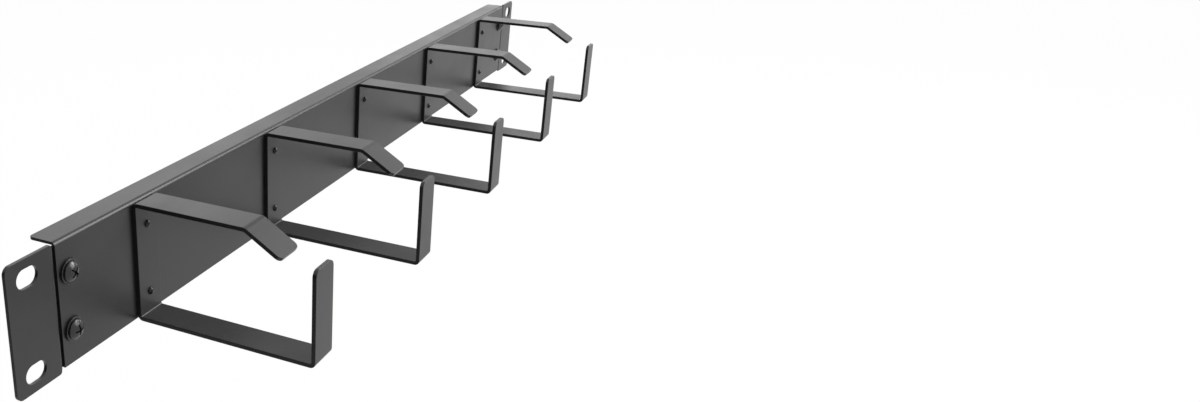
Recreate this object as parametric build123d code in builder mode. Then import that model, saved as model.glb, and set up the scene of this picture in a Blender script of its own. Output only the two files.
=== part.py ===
from build123d import *
import os
from math import cos, radians, sin, tan

# A one-unit horizontal cable manager for a 19-inch rack: a folded steel panel, a joggled ear
# screwed behind each end of it, and five open D-rings riveted to its face.
# X runs along the rack's width, Y to the rear and Z up. The origin lies in the plane where the
# ears bear on the rack's rails, midway between the four mounting slots. Sizes are millimetres.

# Rack mounting
overall_width = 482.6
slot_inset = 8.75
slot_spacing_z = 31.75
slot_length = 9.0
slot_height = 6.3

# Ears
ear_height = 44.3
ear_reach = 21.3
ear_sheet = 1.2
ear_corner = 2.5
ear_step_corner = 1.3
joggle_angle = 45.0
joggle_inside_bend = 0.3
joggle_gap = 0.15
tab_overlap = 13.0
tab_corner = 1.5
tab_top_gap = 0.2
tab_bottom_inset = 0.1

# Panel
panel_height = 43.0
panel_sheet = 1.0
flange_depth = 10.2
flange_corner = 1.4
panel_inside_bend = 0.5

# Rings
ring_count = 5
ring_drop = 0.35
ring_height = 43.45
ring_depth = 68.8
arm_length = 43.4
lip_length = 15.4
lip_angle = 31.0
front_tab_height = 34.1
bar_width = 12.0
bar_thickness = 1.5
bar_inside_bend = 0.5
lip_outside_bend = 3.5
lip_corner = 2.0
front_tab_corner = 2.5

# Rivets
rivet_spacing = 25.2
rivet_shank = 2.0
rivet_head = 2.9
rivet_head_height = 1.1
rivet_tail = 3.0
rivet_tail_height = 0.6
rivet_clearance = 0.05

# Ear screws, washers and clinch nuts
screw_inset = 5.4
screw_spacing = 20.0
screw_thread = 3.5
screw_length = 6.0
screw_point = 0.4
screw_head = 6.8
screw_head_height = 2.0
screw_head_rim = 0.5
recess_span = 4.0
recess_wing = 0.7
recess_depth = 1.2
recess_taper = 12.0
recess_turn = {"left_upper": 49.0, "left_lower": 3.0, "right_upper": 22.0, "right_lower": 70.0}
washer_outer = 8.3
washer_hole = 3.7
washer_thickness = 0.8
panel_screw_hole = 3.8
nut_body = 7.2
nut_body_height = 1.8
nut_shank = 4.8
nut_shank_height = 1.0
nut_chamfer = 0.3
nut_clearance = 0.05
thread_clearance = 0.05

# Planes across the depth: the ear's face and the panel's face are flush
rail_plane = 0.0
face_plane = rail_plane - ear_sheet
panel_back = face_plane + panel_sheet
tab_back = panel_back + ear_sheet

# Heights
ear_top = ear_height / 2
panel_top = ear_top
panel_bottom = panel_top - panel_height
panel_middle = (panel_top + panel_bottom) / 2
ring_top = panel_top - ring_drop
ring_bottom = ring_top - ring_height
ring_middle = (ring_top + ring_bottom) / 2
tab_top = panel_top - panel_sheet - panel_inside_bend - tab_top_gap
tab_bottom = panel_bottom + tab_bottom_inset

# Places along the width, for the left end
ear_end = -overall_width / 2
slot_x = ear_end + slot_inset
panel_end = ear_end + ear_reach
panel_length = -2 * panel_end
joggle_foot = panel_end - joggle_gap - (joggle_inside_bend * tan(radians(joggle_angle / 2)))
joggle_start = joggle_foot - panel_sheet / tan(radians(joggle_angle))
tab_end = panel_end + tab_overlap
screw_x = panel_end + screw_inset
ring_spacing = panel_length / ring_count
screw_heights = {"upper": panel_middle + screw_spacing / 2, "lower": panel_middle - screw_spacing / 2}
ring_centres = [(index - (ring_count - 1) / 2) * ring_spacing for index in range(ring_count)]
rivet_heights = [ring_middle + rivet_spacing / 2, ring_middle - rivet_spacing / 2]

# Middle lines of the bent sheets and bar: radii, and how far a mitred corner moves along
joggle_bend = joggle_inside_bend + ear_sheet / 2
joggle_shift = ear_sheet / 2 * tan(radians(joggle_angle / 2))
panel_bend = panel_inside_bend + panel_sheet / 2
bar_bend = bar_inside_bend + bar_thickness / 2
lip_bend = lip_outside_bend - bar_thickness / 2
lip_shift = bar_thickness / 2 * tan(radians(lip_angle / 2))

finished = {}


def finish(name, piece):
    """Label a finished piece and keep it for writing."""
    piece.part.label = name
    finished[name] = piece.part


def front_plane(depth):
    """A sketch plane facing the front, with X to the right and Z up, at a depth in Y."""
    return Plane.XZ.offset(-depth)


def section_plane(path, width_direction):
    """The plane square to the start of a middle line, with X along the section's width."""
    return Plane(origin=path.line @ 0, x_dir=width_direction, z_dir=path.line % 0)


def depth_axis(centre_x, height):
    """The line that a fastener is turned about: it runs to the rear."""
    return Axis((centre_x, 0, height), (0, 1, 0))


# Panel: one sheet folded to an angle, drilled for the ear screws and the ring rivets
with BuildPart() as panel:
    with BuildLine(Plane.YZ) as panel_path:
        FilletPolyline(
            (face_plane + panel_sheet / 2, panel_bottom),
            (face_plane + panel_sheet / 2, panel_top - panel_sheet / 2),
            (face_plane + flange_depth, panel_top - panel_sheet / 2),
            radius=panel_bend,
        )
    with BuildSketch(section_plane(panel_path, (1, 0, 0))):
        Rectangle(panel_length, panel_sheet)
    sweep()
    rear_corners = panel.edges().filter_by(Axis.Z).group_by(Axis.Y)[-1]
    fillet(rear_corners, radius=flange_corner)
    with BuildSketch(front_plane(face_plane)):
        for side in (-1, 1):
            with Locations([(side * screw_x, height) for height in screw_heights.values()]):
                Circle(panel_screw_hole / 2)
        with Locations([(x, height) for x in ring_centres for height in rivet_heights]):
            Circle(rivet_shank / 2 + rivet_clearance)
    extrude(amount=-panel_sheet, mode=Mode.SUBTRACT)
finish("panel", panel)

# Left ear: a flat plate with two slots, stepped back by the panel's sheet into a narrower tab
with BuildPart() as left_ear:
    with BuildLine() as ear_path:
        FilletPolyline(
            (ear_end, face_plane + ear_sheet / 2),
            (joggle_start - joggle_shift, face_plane + ear_sheet / 2),
            (joggle_foot - joggle_shift, panel_back + ear_sheet / 2),
            (tab_end, panel_back + ear_sheet / 2),
            radius=joggle_bend,
        )
    with BuildSketch(section_plane(ear_path, (0, 0, 1))):
        Rectangle(ear_height, ear_sheet)
    sweep()
    with BuildSketch(front_plane(tab_back)) as outline:
        with BuildSketch(front_plane(tab_back)) as plate:
            with Locations(((ear_end + joggle_start) / 2, 0)):
                Rectangle(joggle_start - ear_end, ear_height)
            fillet(plate.vertices().group_by(Axis.X)[0], radius=ear_corner)
            fillet(plate.vertices().group_by(Axis.X)[-1], radius=ear_step_corner)
        with BuildSketch(front_plane(tab_back)) as tab:
            tab_start = joggle_start - ear_step_corner
            with Locations(((tab_start + tab_end) / 2, (tab_top + tab_bottom) / 2)):
                Rectangle(tab_end - tab_start, tab_top - tab_bottom)
            fillet(tab.vertices().group_by(Axis.X)[-1], radius=tab_corner)
    extrude(amount=tab_back - face_plane, mode=Mode.INTERSECT)
    with BuildSketch(front_plane(tab_back)):
        for row in (-1, 1):
            with Locations((slot_x, row * slot_spacing_z / 2)):
                SlotOverall(slot_length, slot_height)
        with Locations([(screw_x, height) for height in screw_heights.values()]):
            Circle(nut_shank / 2 + nut_clearance)
    extrude(amount=tab_back - face_plane, mode=Mode.SUBTRACT)
finish("left_ear", left_ear)

# Right ear: the left one's mirror image
with BuildPart() as right_ear:
    mirror(left_ear.part, about=Plane.YZ)
finish("right_ear", right_ear)


def make_ring(centre_x):
    """One open D-ring: a flat bar bent from the lip, over and down the panel, out and up again."""
    lip_run = (lip_length - lip_shift) * cos(radians(lip_angle))
    lip_fall = (lip_length - lip_shift) * sin(radians(lip_angle))
    lip_corner_depth = face_plane - arm_length + lip_shift
    arm_height = ring_top - bar_thickness / 2
    floor_height = ring_bottom + bar_thickness / 2
    back_depth = face_plane - bar_thickness / 2
    front_depth = face_plane - ring_depth + bar_thickness / 2
    with BuildPart() as ring:
        with BuildLine(Plane.YZ.offset(centre_x)) as ring_path:
            FilletPolyline(
                (lip_corner_depth - lip_run, arm_height - lip_fall),
                (lip_corner_depth, arm_height),
                (back_depth, arm_height),
                (back_depth, floor_height),
                (front_depth, floor_height),
                (front_depth, ring_bottom + front_tab_height),
                radius=[lip_bend, bar_bend, bar_bend, bar_bend],
            )
        with BuildSketch(section_plane(ring_path, (1, 0, 0))):
            Rectangle(bar_width, bar_thickness)
        sweep()
        front_tab_edges = ring.edges().filter_by(Axis.Y).group_by(SortBy.LENGTH)[0]
        fillet(front_tab_edges, radius=front_tab_corner)
        across_lip = Axis((0, 0, 0), (0, -sin(radians(lip_angle)), cos(radians(lip_angle))))
        fillet(ring.edges().filter_by(across_lip), radius=lip_corner)
        with BuildSketch(front_plane(face_plane)):
            with Locations([(centre_x, height) for height in rivet_heights]):
                Circle(rivet_shank / 2 + rivet_clearance)
        extrude(amount=bar_thickness, mode=Mode.SUBTRACT)
    return ring


def make_rivets(centre_x):
    """The two rivets of one ring: a low dome in front, a shank, and a flat set tail behind."""
    seat = face_plane - bar_thickness
    with BuildPart() as rivets:
        for height in rivet_heights:
            with BuildSketch(Plane.XY.offset(height)):
                with BuildLine():
                    TangentArc(
                        (centre_x, seat - rivet_head_height),
                        (centre_x + rivet_head / 2, seat),
                        tangent=(1, 0),
                    )
                    Polyline(
                        (centre_x + rivet_head / 2, seat),
                        (centre_x + rivet_shank / 2, seat),
                        (centre_x + rivet_shank / 2, panel_back),
                        (centre_x + rivet_tail / 2, panel_back),
                        (centre_x + rivet_tail / 2, panel_back + rivet_tail_height),
                        (centre_x, panel_back + rivet_tail_height),
                        (centre_x, seat - rivet_head_height),
                    )
                make_face()
            revolve(axis=depth_axis(centre_x, height))
    return rivets


for number, ring_x in enumerate(ring_centres, start=1):
    finish(f"d_ring_{number}", make_ring(ring_x))
    finish(f"ring_rivets_{number}", make_rivets(ring_x))


def make_screw(centre_x, height, turn):
    """A pan-head screw: a domed head with a cross recess, and a plain cylinder for the thread."""
    seat = face_plane - washer_thickness
    crown = seat - screw_head_height
    thread_end = seat + screw_length
    with BuildPart() as screw:
        with BuildSketch(Plane.XY.offset(height)):
            with BuildLine():
                TangentArc(
                    (centre_x, crown),
                    (centre_x + screw_head / 2, seat - screw_head_rim),
                    tangent=(1, 0),
                )
                Polyline(
                    (centre_x + screw_head / 2, seat - screw_head_rim),
                    (centre_x + screw_head / 2, seat),
                    (centre_x + screw_thread / 2, seat),
                    (centre_x + screw_thread / 2, thread_end - screw_point),
                    (centre_x + screw_thread / 2 - screw_point, thread_end),
                    (centre_x, thread_end),
                    (centre_x, crown),
                )
            make_face()
        revolve(axis=depth_axis(centre_x, height))
        with BuildSketch(front_plane(crown)):
            with Locations((centre_x, height)):
                for quarter in (0, 90):
                    Rectangle(recess_span, recess_wing, rotation=turn + quarter)
        extrude(amount=-recess_depth, taper=recess_taper, mode=Mode.SUBTRACT)
    return screw


def make_washers(centre_x):
    """The two flat washers at one end of the panel."""
    with BuildPart() as washers:
        with BuildSketch(front_plane(face_plane)):
            with Locations([(centre_x, height) for height in screw_heights.values()]):
                Circle(washer_outer / 2)
                Circle(washer_hole / 2, mode=Mode.SUBTRACT)
        extrude(amount=washer_thickness)
    return washers


def make_clinch_nuts(centre_x):
    """The two round nuts at one end, pressed into the ear's tab from behind."""
    bore = screw_thread / 2 + thread_clearance
    body_end = tab_back + nut_body_height
    with BuildPart() as nuts:
        for height in screw_heights.values():
            with BuildSketch(Plane.XY.offset(height)):
                with BuildLine():
                    Polyline(
                        (centre_x + bore, tab_back - nut_shank_height),
                        (centre_x + nut_shank / 2, tab_back - nut_shank_height),
                        (centre_x + nut_shank / 2, tab_back),
                        (centre_x + nut_body / 2, tab_back),
                        (centre_x + nut_body / 2, body_end - nut_chamfer),
                        (centre_x + nut_body / 2 - nut_chamfer, body_end),
                        (centre_x + bore, body_end),
                        close=True,
                    )
                make_face()
            revolve(axis=depth_axis(centre_x, height))
    return nuts


for side_name, side in (("left", 1), ("right", -1)):
    end_x = side * screw_x
    for row_name, screw_height in screw_heights.items():
        place = f"{side_name}_{row_name}"
        finish(f"ear_screw_{place}", make_screw(end_x, screw_height, recess_turn[place]))
    finish(f"ear_washers_{side_name}", make_washers(end_x))
    finish(f"clinch_nuts_{side_name}", make_clinch_nuts(end_x))

# Write one file per piece
os.makedirs("parts", exist_ok=True)
for name, part in finished.items():
    export_step(part, f"parts/{name}.step")
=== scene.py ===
# %% [markdown]
# # A horizontal cable manager, dressed around its solids
#
# The real object is a folded steel panel, one rack unit high, with an ear screwed behind each
# end and five open D-rings riveted to its face. Sheet and bar wear the same satin black powder
# coat. The rivets, screws and washers are black too, and the nuts behind the ears are zinc.
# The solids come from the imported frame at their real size. This file only gives them soft
# edges, real threads, finishes, light and a camera. Lengths are metres in the part's frame:
# X along the rack, Y to the rear, Z up, with the origin midway between the four slots.

# %% Load the frame
from math import ceil, cos, hypot, pi, radians, sin

import bmesh
import bpy
from mathutils import Matrix, Vector


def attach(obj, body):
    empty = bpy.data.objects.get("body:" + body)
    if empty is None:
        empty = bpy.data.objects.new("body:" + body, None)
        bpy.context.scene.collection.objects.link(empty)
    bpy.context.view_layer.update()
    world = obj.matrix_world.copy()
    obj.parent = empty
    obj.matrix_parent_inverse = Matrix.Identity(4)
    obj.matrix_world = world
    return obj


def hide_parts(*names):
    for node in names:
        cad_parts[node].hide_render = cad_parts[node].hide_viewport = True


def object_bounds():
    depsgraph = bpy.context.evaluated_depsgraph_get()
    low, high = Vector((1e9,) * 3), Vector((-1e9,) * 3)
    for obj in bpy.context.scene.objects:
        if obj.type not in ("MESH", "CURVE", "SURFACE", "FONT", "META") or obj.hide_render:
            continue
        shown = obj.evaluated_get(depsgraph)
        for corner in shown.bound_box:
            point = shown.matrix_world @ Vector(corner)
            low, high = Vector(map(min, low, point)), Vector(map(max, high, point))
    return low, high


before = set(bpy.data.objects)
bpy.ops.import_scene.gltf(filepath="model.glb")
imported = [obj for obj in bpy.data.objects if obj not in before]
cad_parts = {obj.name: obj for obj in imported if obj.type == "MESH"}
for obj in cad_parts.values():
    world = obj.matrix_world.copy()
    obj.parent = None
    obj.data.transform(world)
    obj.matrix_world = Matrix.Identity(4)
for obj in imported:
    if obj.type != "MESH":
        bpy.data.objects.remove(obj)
cad_low, cad_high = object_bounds()
MM = 0.001
print("solids:", len(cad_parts), "box in mm:", [round(x / MM, 1) for x in cad_high - cad_low])

# %% [markdown]
# ## Camera
#
# The photo looks along the panel from beyond its left end, a little from above. A pinhole
# camera was fitted to the corners, slots, rivets and screws, whose real places are known, and
# its place, angles and focal length are written here. The camera could also be aimed with a
# Track To constraint, but a fitted picture also has a small roll, so its three axes are worked
# out and written into the matrix. The picture is twice as wide as the object's own picture, so
# the view is shifted sideways by a quarter of its width.

# %% Camera
camera_place = Vector((-430.91, -195.50, 145.19)) * MM
camera_turn = radians(-62.17)
camera_tilt = radians(-21.46)
camera_roll = radians(0.46)
focal_length = 30.40

level = Vector((cos(camera_turn), sin(camera_turn), 0))
ahead = Vector((-sin(camera_turn), cos(camera_turn), 0))
forward = cos(camera_tilt) * ahead + sin(camera_tilt) * Vector((0, 0, 1))
upright = level.cross(forward)
to_right = cos(camera_roll) * level + sin(camera_roll) * upright
to_top = cos(camera_roll) * upright - sin(camera_roll) * level

camera_data = bpy.data.cameras.new("photo_camera")
camera_data.lens = focal_length
camera_data.sensor_width = 36.0
camera_data.shift_x = 0.25
camera_data.clip_start = 0.01
camera_data.clip_end = 60.0
camera = bpy.data.objects.new("photo_camera", camera_data)
bpy.context.scene.collection.objects.link(camera)
camera_axes = Matrix((to_right, to_top, -forward)).transposed().to_4x4()
camera.matrix_world = Matrix.Translation(camera_place) @ camera_axes
bpy.context.scene.camera = camera
print("camera stands", round(camera_place.length, 3), "m from the origin")

# %% [markdown]
# ## Effects that the finishes share
#
# A powder coat is baked plastic powder: it levels into a skin with a fine, rounded grain, a
# little like orange peel, and its gloss drifts slightly from place to place. The grain could be
# a picture mapped onto the faces, but the sheets are made of many thin faces and have no
# natural unwrapping. So each effect is a node group in the object's own coordinates, in metres,
# built once, and every material sets its own grain size and strength.

# %% Helpers for node groups
def new_group(name, inputs, outputs):
    """An empty group with named inputs {name: value} and float outputs."""
    group = bpy.data.node_groups.new(name, "ShaderNodeTree")
    for label, value in inputs.items():
        socket = group.interface.new_socket(name=label, in_out="INPUT", socket_type="NodeSocketFloat")
        socket.default_value = value
    for label in outputs:
        group.interface.new_socket(name=label, in_out="OUTPUT", socket_type="NodeSocketFloat")
    return group, group.nodes.new("NodeGroupInput"), group.nodes.new("NodeGroupOutput")


def calculate(tree, operation, first, second=None, clamp=False):
    """A Math node: each of its two inputs is a socket or a number. It returns the result."""
    node = tree.nodes.new("ShaderNodeMath")
    node.operation = operation
    node.use_clamp = clamp
    for socket, value in zip(node.inputs, (first, second)):
        if isinstance(value, bpy.types.NodeSocket):
            tree.links.new(value, socket)
        elif value is not None:
            socket.default_value = value
    return node.outputs[0]


def stretch(tree, value, from_low, from_high, to_low, to_high):
    """A Map Range node that stretches one range of values onto another and stops at its ends."""
    node = tree.nodes.new("ShaderNodeMapRange")
    tree.links.new(value, node.inputs["Value"])
    ends = {"From Min": from_low, "From Max": from_high, "To Min": to_low, "To Max": to_high}
    for label, number in ends.items():
        node.inputs[label].default_value = number
    return node.outputs["Result"]


def noise(tree, scale, detail=2.0, roughness=0.5):
    """A Noise Texture in the object's coordinates. Scale is a socket, in cells per metre."""
    place = tree.nodes.new("ShaderNodeTexCoord")
    node = tree.nodes.new("ShaderNodeTexNoise")
    node.inputs["Detail"].default_value = detail
    node.inputs["Roughness"].default_value = roughness
    tree.links.new(place.outputs["Object"], node.inputs["Vector"])
    tree.links.new(scale, node.inputs["Scale"])
    return node.outputs["Fac"]


def per_metre(tree, size):
    """Cells per metre from a cell's size in millimetres."""
    return calculate(tree, "DIVIDE", 1.0 / MM, size)


# %% [markdown]
# The coat's group puts out the height of the grain, which a Bump node in each material turns
# into tiny slopes, and a slow mottle, which varies colour and gloss. Blender's noise rarely
# leaves the range from 0.3 to 0.7, so that range is stretched to run from 0 to 1. The grain
# could also be a Voronoi pattern, but its cells look like leather rather than melted powder.

# %% Coat grain group
coat_grain, given, result = new_group(
    "Coat grain",
    {"Grain size mm": 0.45, "Mottle size mm": 18.0},
    ["Height", "Mottle"],
)
fine = noise(coat_grain, per_metre(coat_grain, given.outputs["Grain size mm"]), detail=1.5)
slow = noise(coat_grain, per_metre(coat_grain, given.outputs["Mottle size mm"]), detail=3.0)
coat_grain.links.new(stretch(coat_grain, fine, 0.30, 0.70, 0.0, 1.0), result.inputs["Height"])
coat_grain.links.new(stretch(coat_grain, slow, 0.32, 0.68, 0.0, 1.0), result.inputs["Mottle"])
print("group:", coat_grain.name, "with", len(coat_grain.nodes), "nodes")

# %% [markdown]
# On a convex edge the powder flows thin and handling polishes it first. The soft edges made
# below carry a value on their points, 1 on the rounding and 0 on the flat, so the group reads
# that value instead of guessing from the surface's bend, and breaks it up with noise.

# %% Edge wear group
EDGE_VALUE = "edge_round"
edge_wear, given, result = new_group(
    "Edge wear",
    {"Amount": 0.5, "Patch size mm": 3.0},
    ["Mask"],
)
on_edge = edge_wear.nodes.new("ShaderNodeAttribute")
on_edge.attribute_name = EDGE_VALUE
patches = noise(edge_wear, per_metre(edge_wear, given.outputs["Patch size mm"]), detail=4.0, roughness=0.6)
broken = stretch(edge_wear, patches, 0.35, 0.65, 0.25, 1.0)
mask = calculate(edge_wear, "MULTIPLY", on_edge.outputs["Fac"], broken)
edge_wear.links.new(
    calculate(edge_wear, "MULTIPLY", mask, given.outputs["Amount"], clamp=True), result.inputs["Mask"]
)
print("group:", edge_wear.name, "with", len(edge_wear.nodes), "nodes")

# %% [markdown]
# Even a new rack part has been handled: faint smears where fingers and packing rubbed the
# skin. They show only as patches of slightly different gloss, stretched along the rack.

# %% Handling group
handling, given, result = new_group("Handling", {"Smear size mm": 30.0}, ["Smear"])
place = handling.nodes.new("ShaderNodeTexCoord")
along = handling.nodes.new("ShaderNodeMapping")
along.inputs["Scale"].default_value = (0.35, 1.0, 1.0)
smears = handling.nodes.new("ShaderNodeTexNoise")
smears.inputs["Detail"].default_value = 5.0
smears.inputs["Distortion"].default_value = 0.6
handling.links.new(place.outputs["Object"], along.inputs["Vector"])
handling.links.new(along.outputs["Vector"], smears.inputs["Vector"])
handling.links.new(per_metre(handling, given.outputs["Smear size mm"]), smears.inputs["Scale"])
handling.links.new(stretch(handling, smears.outputs["Fac"], 0.45, 0.70, 0.0, 1.0), result.inputs["Smear"])
print("group:", handling.name, "with", len(handling.nodes), "nodes")

# %% [markdown]
# ## Finishes
#
# The coat is a dielectric: nearly black underneath, with a clear gloss that the eye reads as
# dark grey, growing lighter the more the face turns away. So the Principled shader stays
# non-metallic and nearly black, and the greys come from what it reflects. A ready-made grey
# would look right from one side only.

# %% A finish, from colours, gloss and grain
SMEAR_GLOSS = 0.04
GRAINS_IN_A_PATCH = 40


def mix_colours(tree, factor, low, high):
    """A colour Mix node between two fixed colours, by a mask."""
    node = tree.nodes.new("ShaderNodeMix")
    node.data_type = "RGBA"
    tree.links.new(factor, node.inputs["Factor"])
    node.inputs["A"].default_value = (*low, 1.0)
    node.inputs["B"].default_value = (*high, 1.0)
    return node


def place_group(tree, group, values):
    """One use of a group in a material, with this material's own values."""
    node = tree.nodes.new("ShaderNodeGroup")
    node.node_tree = group
    for label, value in values.items():
        node.inputs[label].default_value = value
    return node


def make_finish(
    name, colour, mottled, worn, gloss, worn_gloss, grain, bump, wear, metallic=0.0, shine=0.5
):
    """A finish with grain, mottle, smears and worn edges. Gloss is a roughness, low to high."""
    material = bpy.data.materials.new(name)
    material.use_nodes = True
    tree = material.node_tree
    shader = tree.nodes["Principled BSDF"]
    shader.inputs["Metallic"].default_value = metallic
    shader.inputs["Specular IOR Level"].default_value = shine
    patch = GRAINS_IN_A_PATCH * grain
    coat = place_group(tree, coat_grain, {"Grain size mm": grain, "Mottle size mm": patch})
    edges = place_group(tree, edge_wear, {"Amount": wear})
    hands = place_group(tree, handling, {})
    base = mix_colours(tree, coat.outputs["Mottle"], colour, mottled)
    finished = mix_colours(tree, edges.outputs["Mask"], mottled, worn)
    tree.links.new(base.outputs["Result"], finished.inputs["A"])
    tree.links.new(finished.outputs["Result"], shader.inputs["Base Color"])
    flat_gloss = stretch(tree, coat.outputs["Mottle"], 0.0, 1.0, *gloss)
    rubbed = calculate(tree, "MULTIPLY", hands.outputs["Smear"], SMEAR_GLOSS)
    polished = calculate(tree, "MULTIPLY", edges.outputs["Mask"], worn_gloss - gloss[0])
    both = calculate(tree, "ADD", rubbed, polished)
    tree.links.new(calculate(tree, "ADD", flat_gloss, both), shader.inputs["Roughness"])
    bumps = tree.nodes.new("ShaderNodeBump")
    bumps.inputs["Distance"].default_value = bump * MM
    tree.links.new(coat.outputs["Height"], bumps.inputs["Height"])
    tree.links.new(bumps.outputs["Normal"], shader.inputs["Normal"])
    return material


# %% [markdown]
# The panel, the ears and the rings wear the same powder, yet they are coated as separate parts,
# so each kind gets its own small difference in depth and grain. One material for all of them
# would be simpler, but the seams between the parts would then look painted over.

# %% The coat on sheet and bar
panel_coat = make_finish(
    "panel_powder_coat", (0.009, 0.009, 0.009), (0.012, 0.012, 0.012), (0.035, 0.035, 0.035),
    gloss=(0.33, 0.37), worn_gloss=0.30, grain=0.45, bump=0.004, wear=0.5,
)
ear_coat = make_finish(
    "ear_powder_coat", (0.008, 0.008, 0.008), (0.011, 0.011, 0.011), (0.035, 0.035, 0.035),
    gloss=(0.33, 0.37), worn_gloss=0.30, grain=0.42, bump=0.004, wear=0.6,
)
ring_coat = make_finish(
    "ring_powder_coat", (0.009, 0.009, 0.009), (0.012, 0.012, 0.012), (0.035, 0.035, 0.035),
    gloss=(0.34, 0.38), worn_gloss=0.31, grain=0.40, bump=0.005, wear=0.5,
)

# %% [markdown]
# Small hardware is finished apart from the sheet. The rivets are dull black, so they reflect
# less than the coat. The screws and washers have a smoother black that shows a crisp spot of
# light on each dome. The nuts are zinc plated, the only bare metal here, so their grey is the
# metal's own colour and metallic is 1.

# %% The finishes of the hardware
rivet_coat = make_finish(
    "rivet_black", (0.008, 0.008, 0.008), (0.011, 0.011, 0.011), (0.04, 0.04, 0.04),
    gloss=(0.20, 0.26), worn_gloss=0.20, grain=0.20, bump=0.002, wear=0.4, shine=0.30,
)
screw_black = make_finish(
    "screw_black", (0.009, 0.009, 0.009), (0.012, 0.012, 0.012), (0.05, 0.05, 0.05),
    gloss=(0.18, 0.24), worn_gloss=0.17, grain=0.15, bump=0.001, wear=0.7,
)
nut_zinc = make_finish(
    "nut_zinc", (0.40, 0.41, 0.42), (0.50, 0.50, 0.49), (0.62, 0.62, 0.62),
    gloss=(0.34, 0.42), worn_gloss=0.28, grain=0.25, bump=0.002, wear=0.5, metallic=1.0,
)
print("finishes:", [m.name for m in bpy.data.materials])

# %% [markdown]
# ## Soft edges on the sheet and bar
#
# Punched sheet has a small radius along each cut edge, and the coat rounds it more. Those thin
# roundings catch the light and draw the bright lines along the ears and rings. The shape itself
# is already right in the solids, so each piece is a copy of its solid: its doubled points are
# joined, its flat triangles are merged into whole faces, and only its sharp edges are rounded.
# A Bevel modifier could do it, but in mesh code each rounding can also carry the value that the
# edge wear reads.

# %% Join and round the edges of a copy
same_point = 0.001 * MM
still_flat = radians(0.5)


def weld(mesh_maker):
    """Join doubled points, then merge flat triangles into whole faces."""
    bmesh.ops.remove_doubles(mesh_maker, verts=mesh_maker.verts, dist=same_point)
    bmesh.ops.dissolve_limit(
        mesh_maker, angle_limit=still_flat, verts=mesh_maker.verts, edges=mesh_maker.edges
    )


def soften(mesh_maker, width, steps=3, sharp=35.0, stays_crisp=None):
    """Round the edges sharper than `sharp` degrees, and mark the points on the roundings."""
    weld(mesh_maker)
    edges = [e for e in mesh_maker.edges if e.is_manifold and e.calc_face_angle() > radians(sharp)]
    if stays_crisp:
        for edge in filter(stays_crisp, edges):
            edge.smooth = False
        edges = [edge for edge in edges if edge.smooth]
    rounded = bmesh.ops.bevel(
        mesh_maker, geom=edges, offset=width * MM, offset_type="OFFSET", segments=steps,
        profile=0.5, affect="EDGES", clamp_overlap=False, miter_outer="ARC",
    )
    layer = mesh_maker.verts.layers.float.new(EDGE_VALUE)
    round_faces = set(rounded["faces"])
    for vert in mesh_maker.verts:
        vert[layer] = 1.0 if all(face in round_faces for face in vert.link_faces) else 0.0
    return len(edges)


# %% [markdown]
# A finished mesh becomes an object, shaded smooth. Its Weighted Normal modifier lets the large
# flat faces decide how the light turns over a rounded edge, so the flats stay flat and only the
# roundings shade. Plain smooth shading would bend the light across the flats as well.

# %% Show a piece in place of its solid
def add_piece(name, mesh_maker, material):
    """Turn mesh code into a shown piece that rides on the one body, with even shading."""
    mesh = bpy.data.meshes.new(name)
    mesh_maker.to_mesh(mesh)
    mesh_maker.free()
    mesh.materials.append(material)
    for face in mesh.polygons:
        face.use_smooth = True
    piece = bpy.data.objects.new(name, mesh)
    bpy.context.scene.collection.objects.link(piece)
    shading = piece.modifiers.new("even_shading", "WEIGHTED_NORMAL")
    shading.weight = 100
    shading.keep_sharp = True
    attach(piece, "root")
    return piece


def soft_copy(node, width, material):
    """A soft-edged copy of one solid, which then stands for it."""
    maker = bmesh.new()
    maker.from_mesh(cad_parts[node].data)
    count = soften(maker, width)
    piece = add_piece(node + "_soft", maker, material)
    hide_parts(node)
    print(piece.name, "edges rounded:", count, "faces:", len(piece.data.polygons))


# %% [markdown]
# The panel and the ears are thin sheet, so their edges get a small radius. The bar of the rings
# is thicker and comes with rolled corners, so its radius is larger.

# %% Panel, ears and rings
sheet_edge = 0.10
bar_edge = 0.16
soft_copy("panel", sheet_edge, panel_coat)
for side in ("left", "right"):
    soft_copy(f"{side}_ear", sheet_edge, ear_coat)
ring_nodes = sorted(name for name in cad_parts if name.startswith("d_ring_"))
for ring in ring_nodes:
    soft_copy(ring, bar_edge, ring_coat)

# %% [markdown]
# Two rivets hold each ring: a low dome in front, and a tail behind that was squeezed over the
# panel. The washers are punched and tumbled, so their rims are rounder than the sheet's. The
# nuts are pressed into the ears from behind. All of them are turned or pressed shapes that a
# Spin modifier could sweep, but the solids already have the shapes, down to the domes, so these
# are soft-edged copies too.

# %% Rivets, washers and nuts
rivet_edge = 0.10
washer_edge = 0.12
nut_edge = 0.10
for ring in ring_nodes:
    soft_copy(ring.replace("d_ring", "ring_rivets"), rivet_edge, rivet_coat)
for side in ("left", "right"):
    soft_copy(f"ear_washers_{side}", washer_edge, screw_black)
    soft_copy(f"clinch_nuts_{side}", nut_edge, nut_zinc)

# %% [markdown]
# ## Screws with a real thread
#
# The solids show each screw's thread as a plain cylinder. The head is kept, with its rim
# rounded and the struck edges of its cross left crisp. The cylinder is replaced by a rolled
# thread: one grid of points that climbs by a pitch in each turn, with a flat crest and a flat
# root. A Screw modifier could sweep a profile too, but here the grid also follows the chamfer
# at the point and closes into a solid.

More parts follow.
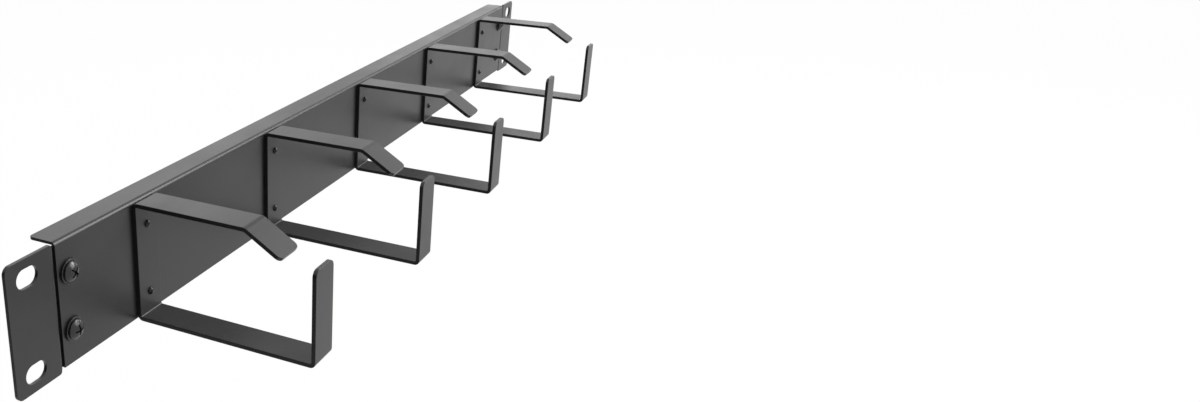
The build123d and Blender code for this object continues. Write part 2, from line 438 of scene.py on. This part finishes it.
# %% Measure a screw
def measure_screw(mesh):
    """The screw's axis, its thread's radius, and where its seat and end lie along Y."""
    xs, ys, zs = zip(*(vert.co for vert in mesh.vertices))
    axis = ((min(xs) + max(xs)) / 2, (min(zs) + max(zs)) / 2)
    reach = [(y, hypot(x - axis[0], z - axis[1])) for x, y, z in zip(xs, ys, zs)]
    head_radius = max(radius for y, radius in reach)
    seat = max(y for y, radius in reach if radius > 0.99 * head_radius)
    thread_radius = max(radius for y, radius in reach if y > seat + 1 * MM)
    return axis, thread_radius, seat, max(ys)


# %% [markdown]
# A metric thread is a triangle of 60 degrees with its tips cut off: the crest is an eighth of
# the pitch wide, the root a quarter, and the depth between them is 0.61 of the pitch. Half of
# each width is given here as a share of the pitch.

# %% Cut the thread
thread_pitch = 0.6 * MM
thread_depth = 0.61 * thread_pitch
half_crest, half_root = 0.0625, 0.125
point_chamfer = 0.4 * MM
thread_columns = 32


def thread_reach(crest, y, length, turn):
    """The thread's radius at a place along it and a part of a turn round it."""
    from_crest = abs((y / thread_pitch - turn) % 1 - 0.5)
    flank = (0.5 - half_root - from_crest) / (0.5 - half_root - half_crest)
    profile = crest - thread_depth * (1 - min(max(flank, 0), 1))
    return min(profile, crest - (y - length + point_chamfer))


def cut_thread(mesh_maker, axis, crest, start, end):
    """Add a closed thread that runs from `start` to `end` along Y."""
    length = end - start
    stops = (half_root, 0.5 - half_crest, 0.5 + half_crest, 1 - half_root)
    turns = range(-1, ceil(length / thread_pitch) + 1)
    columns = []
    # Each column of points stands a little higher along the screw than the one before it, so
    # the rows between them climb by one pitch in a full turn.
    for step in range(thread_columns):
        turn = step / thread_columns
        heights = [min(max((k + stop + turn) * thread_pitch, 0), length) for k in turns for stop in stops]
        reaches = [thread_reach(crest, y, length, turn) for y in heights]
        angle = 2 * pi * turn
        columns.append([
            mesh_maker.verts.new((axis[0] + r * cos(angle), start + y, axis[1] + r * sin(angle)))
            for y, r in zip(heights, reaches)
        ])
    # The first column closes the turn, taken from one pitch further on.
    columns.append(columns[0][len(stops):])
    for near, far in zip(columns, columns[1:]):
        for row in range(min(len(near), len(far)) - 1):
            mesh_maker.faces.new((near[row], near[row + 1], far[row + 1], far[row]))
    bmesh.ops.remove_doubles(mesh_maker, verts=mesh_maker.verts, dist=0.0005 * MM)
    open_ends = [edge for edge in mesh_maker.edges if edge.is_boundary]
    bmesh.ops.holes_fill(mesh_maker, edges=open_ends, sides=0)


# %% [markdown]
# Each screw is put together from its solid's head and the new thread. The shank's faces are
# taken off, the hole they leave is closed, and the thread starts on that seat, as on a real
# screw, where head and thread are one blank.

# %% Build the screws
head_edge = 0.08
recess_rim = 0.6 * MM


def build_screw(node):
    """A screw with its own head and a cut thread, which stands for its solid."""
    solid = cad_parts[node].data
    axis, thread_radius, seat, end = measure_screw(solid)

    def from_axis(point):
        return hypot(point.x - axis[0], point.z - axis[1])

    def on_shank(face):
        return all(v.co.y > seat - 0.01 * MM and from_axis(v.co) < 1.01 * thread_radius for v in face.verts)

    def in_recess(edge):
        return all(vert.co.y < seat - recess_rim for vert in edge.verts)

    maker = bmesh.new()
    maker.from_mesh(solid)
    weld(maker)
    bmesh.ops.delete(maker, geom=[face for face in maker.faces if on_shank(face)], context="FACES")
    bmesh.ops.holes_fill(maker, edges=[edge for edge in maker.edges if edge.is_boundary], sides=0)
    soften(maker, head_edge, stays_crisp=in_recess)
    cut_thread(maker, axis, thread_radius, seat, end)
    bmesh.ops.recalc_face_normals(maker, faces=maker.faces)
    piece = add_piece(node + "_soft", maker, screw_black)
    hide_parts(node)
    print(piece.name, "thread", round(2 * thread_radius / MM, 2), "mm, faces:", len(piece.data.polygons))


for side in ("left", "right"):
    for row in ("upper", "lower"):
        build_screw(f"ear_screw_{side}_{row}")

# %% [markdown]
# ## Floor, light and background
#
# The photo is a studio picture on white, with the manager held clear of the floor, as it is in
# a rack. The floor mixes a plain white diffuse with a white glow that only the camera and gloss
# see: that keeps it white without more light on the object, and the diffuse share keeps a soft
# shadow. It is so large that its far edge never shows.

# %% Seen directly or as light
def seen_directly(tree):
    """1 for rays from the camera, off gloss or through glass, and 0 for light on the object."""
    path = tree.nodes.new("ShaderNodeLightPath")
    gloss = calculate(tree, "MAXIMUM", path.outputs["Is Camera Ray"], path.outputs["Is Glossy Ray"])
    return calculate(tree, "MAXIMUM", gloss, path.outputs["Is Transmission Ray"])


# %% Floor
floor_level = cad_low.z - 0.60
floor_size = 40.0
floor_glow = 0.97
maker = bmesh.new()
bmesh.ops.create_grid(maker, x_segments=8, y_segments=8, size=floor_size / 2)
bmesh.ops.translate(maker, verts=maker.verts, vec=(0, 0, floor_level))
floor_mesh = bpy.data.meshes.new("floor")
maker.to_mesh(floor_mesh)
maker.free()
floor = bpy.data.objects.new("floor", floor_mesh)
bpy.context.scene.collection.objects.link(floor)

# %% The floor's white
floor_white = bpy.data.materials.new("floor_white")
floor_white.use_nodes = True
tree = floor_white.node_tree
plain = tree.nodes["Principled BSDF"]
plain.inputs["Base Color"].default_value = (0.95, 0.95, 0.95, 1)
plain.inputs["Roughness"].default_value = 0.9
glow = tree.nodes.new("ShaderNodeEmission")
blend = tree.nodes.new("ShaderNodeMixShader")
tree.links.new(calculate(tree, "MULTIPLY", seen_directly(tree), floor_glow), blend.inputs["Fac"])
tree.links.new(plain.outputs["BSDF"], blend.inputs[1])
tree.links.new(glow.outputs["Emission"], blend.inputs[2])
tree.links.new(blend.outputs["Shader"], tree.nodes["Material Output"].inputs["Surface"])
floor_mesh.materials.append(floor_white)
print("floor at", round(floor_level / MM, 1), "mm,", floor_size, "m wide")

# %% [markdown]
# The room round the object is plain white too. It gives only half of its white as light, so the
# softboxes can still model the faces, while the camera and the gloss see it at full white. A
# sky or a picture of a studio could stand in for it, but this part should look the same in any
# plain light.

# %% World
room_light = 0.5
world = bpy.data.worlds.new("studio")
bpy.context.scene.world = world
world.use_nodes = True
tree = world.node_tree
room = tree.nodes["Background"]
room.inputs["Strength"].default_value = room_light
room.inputs["Color"].default_value = (1, 1, 1, 1)
white = tree.nodes.new("ShaderNodeBackground")
white.inputs["Strength"].default_value = 1.0
white.inputs["Color"].default_value = (1, 1, 1, 1)
blend = tree.nodes.new("ShaderNodeMixShader")
tree.links.new(seen_directly(tree), blend.inputs["Fac"])
tree.links.new(room.outputs["Background"], blend.inputs[1])
tree.links.new(white.outputs["Background"], blend.inputs[2])
tree.links.new(blend.outputs["Shader"], tree.nodes["World Output"].inputs["Surface"])
print("room lights at", room_light, "and shows at", white.inputs["Strength"].default_value)

# %% [markdown]
# The lamps are softboxes, as in the studio, and each one has its own work. The camera stands
# off the rack's left end, so the gloss mirrors what stands off its right end, and all of them
# are on that side. The key stands in front and lights the panel's face, the rings' front tabs
# and the screws' domes. The side one stands higher and further round to the right: it draws the
# bright lines along the panel's fold and inside the rings' bends, and lights the sloping lips. A
# small low one keeps the far tabs from going dull. The last two stand behind the panel's line,
# for the upper faces of the flange and the rings. One large lamp would give all faces the same
# grey. Each softbox is given by where it stands as seen from the origin, its size, and how
# bright its face is, where 1 is the white of the room.

# %% Lamps
lamp_distance = 3.0


def place_softbox(name, azimuth, height, width, tall, brightness):
    """A softbox that faces the origin, from an azimuth from +X and a height in degrees."""
    data = bpy.data.lights.new(name, "AREA")
    data.shape = "RECTANGLE"
    data.size = width
    data.size_y = tall
    data.energy = brightness * pi * width * tall
    lamp = bpy.data.objects.new(name, data)
    bpy.context.scene.collection.objects.link(lamp)
    turn, rise = radians(azimuth), radians(height)
    lamp.location = Vector((cos(turn) * cos(rise), sin(turn) * cos(rise), sin(rise))) * lamp_distance
    lamp.rotation_euler = (-lamp.location).to_track_quat("-Z", "Y").to_euler()
    print(name, "at azimuth", azimuth, "and height", height, "gives", round(data.energy, 1), "W")


place_softbox("key_softbox", -60, 30, 1.9, 1.7, 4.6)
place_softbox("side_softbox", -38, 37, 1.2, 1.4, 7.2)
place_softbox("low_softbox", -16, 8, 0.8, 0.5, 3.0)
place_softbox("end_softbox", 13, 8, 1.1, 0.8, 1.1)
place_softbox("back_softbox", 47, 23, 1.8, 1.0, 0.9)

# %% [markdown]
# A black card stands on the left, out of the picture, as a studio uses it: the faces that look
# that way go nearly black and the edges stay crisp. It is kept small, so that few other views
# of the object find it in their reflections.

# %% Black card
maker = bmesh.new()
card_x = -0.9
card_front, card_back = -0.5, 1.6
card_height = 0.5
bottom = [(card_x, y, floor_level) for y in (card_front, card_back)]
top = [(card_x, y, card_height) for y in (card_back, card_front)]
maker.faces.new([maker.verts.new(corner) for corner in bottom + top])
card_mesh = bpy.data.meshes.new("black_card")
maker.to_mesh(card_mesh)
maker.free()
card = bpy.data.objects.new("black_card", card_mesh)
bpy.context.scene.collection.objects.link(card)
card.visible_camera = False
black = bpy.data.materials.new("card_black")
black.use_nodes = True
black.node_tree.nodes["Principled BSDF"].inputs["Base Color"].default_value = (0.01, 0.01, 0.01, 1)
black.node_tree.nodes["Principled BSDF"].inputs["Roughness"].default_value = 1.0
card_mesh.materials.append(black)
print("card at x", card_x, "m, up to", card_height, "m")

# %% [markdown]
# The Standard view shows colours as they are written.

# %% View settings
bpy.context.scene.view_settings.view_transform = "Standard"
